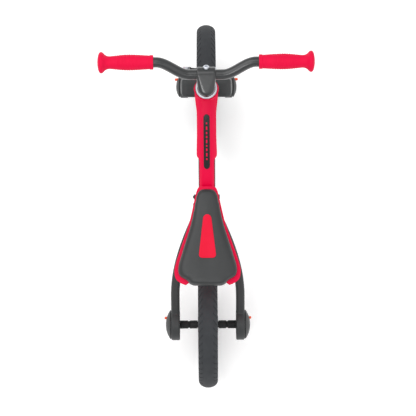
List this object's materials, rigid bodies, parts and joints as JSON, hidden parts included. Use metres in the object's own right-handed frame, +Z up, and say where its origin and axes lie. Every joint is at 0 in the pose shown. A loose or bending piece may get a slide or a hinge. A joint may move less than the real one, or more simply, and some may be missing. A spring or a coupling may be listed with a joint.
{
  "type": "balance bike",
  "caption": "Child's balance bike: moulded frame, telescoping handlebar with quick-release collar, sliding seat, free-turning foam-tyred wheels.",
  "frame": {"origin": "on the ground, midway between the two axles", "axes": "+Z up, +Y forward towards the front wheel, +X to the rider's right"},
  "size_m": [0.461, 0.853, 0.5679],
  "materials": {
    "frame_plastic": "fine grain, dark grey",
    "red_plastic": "satin, moulded",
    "gloss_black_plastic": "gloss",
    "black_plastic": "satin",
    "orange_plastic": "satin",
    "zinc_steel": "zinc plated",
    "bearing_steel": "ground steel",
    "satin_silver": "satin",
    "black_paint": "gloss black paint on steel tube",
    "grip_rubber": "soft, matt",
    "inlay_rubber": "soft, matt",
    "tyre_rubber": "matt",
    "seat_cover": "smooth synthetic cover over foam"
  },
  "bodies": {
    "frame": {"main_frame": "frame_plastic", "rear_yoke": "frame_plastic", "top_shell": "red_plastic", "badge_strip": "gloss_black_plastic", "upper_bush": "black_plastic", "lower_bush": "black_plastic", "headset_cover": "satin_silver", "seat_clamp": "black_plastic", "seat_clamp_bolt": "zinc_steel", "yoke_bolt_upper": "black_paint", "yoke_bolt_lower": "black_paint", "yoke_nut_upper": "black_paint", "yoke_nut_lower": "black_paint", "rear_axle": "zinc_steel", "rear_axle_nut_left": "zinc_steel", "rear_axle_nut_right": "zinc_steel", "rear_spacer_left": "black_plastic", "rear_spacer_right": "black_plastic", "rear_cap_left": "black_plastic", "rear_cap_right": "black_plastic", "rear_peg_left": "orange_plastic", "rear_peg_right": "orange_plastic"},
    "fork": {"fork": "frame_plastic", "steerer_tube": "zinc_steel", "clamp_collar": "black_plastic", "clamp_washer": "black_plastic", "clamp_bolt": "satin_silver", "clamp_barrel": "zinc_steel", "front_axle": "zinc_steel", "front_axle_nut_left": "zinc_steel", "front_axle_nut_right": "zinc_steel", "front_spacer_left": "black_plastic", "front_spacer_right": "black_plastic", "front_cap_left": "black_plastic", "front_cap_right": "black_plastic", "front_peg_left": "orange_plastic", "front_peg_right": "orange_plastic"},
    "clamp_lever": {"clamp_lever": "satin_silver"},
    "handlebar": {"handlebar": "black_paint", "grip_left": "grip_rubber", "grip_right": "grip_rubber", "stem": "black_paint", "stem_bolt": "satin_silver", "bar_post": "zinc_steel"},
    "seat": {"seat_base": "red_plastic", "seat_pad": "seat_cover", "seat_inlay": "inlay_rubber", "seat_post": "zinc_steel"},
    "front_wheel": {"front_rim": "frame_plastic", "front_tyre": "tyre_rubber", "front_bearing_left": "bearing_steel", "front_bearing_right": "bearing_steel"},
    "rear_wheel": {"rear_rim": "frame_plastic", "rear_tyre": "tyre_rubber", "rear_bearing_left": "bearing_steel", "rear_bearing_right": "bearing_steel"}
  },
  "joints": [
    {"name": "steering", "type": "hinge", "parent": "frame", "child": "fork", "pos_m": [0, 0.27635, 0.14374], "axis": [0, -0.2377, 0.9713], "range_deg": [-45, 45]},
    {"name": "handlebar_height", "type": "slide", "parent": "fork", "child": "handlebar", "axis": [0, -0.2377, 0.9713], "range_m": [-0.025, 0.05]},
    {"name": "quick_release", "type": "hinge", "parent": "fork", "child": "clamp_lever", "pos_m": [-0.0441, 0.24074, 0.45335], "axis": [0, 0.9713, 0.2377], "range_deg": [0, 100]},
    {"name": "seat_height", "type": "slide", "parent": "frame", "child": "seat", "axis": [0, -0.309, 0.9511], "range_m": [0, 0.05]},
    {"name": "front_wheel_spin", "type": "hinge", "parent": "fork", "child": "front_wheel", "pos_m": [0, 0.2815, 0.145], "axis": [1, 0, 0], "continuous": true},
    {"name": "rear_wheel_spin", "type": "hinge", "parent": "frame", "child": "rear_wheel", "pos_m": [0, -0.2815, 0.145], "axis": [1, 0, 0], "continuous": true}
  ]
}
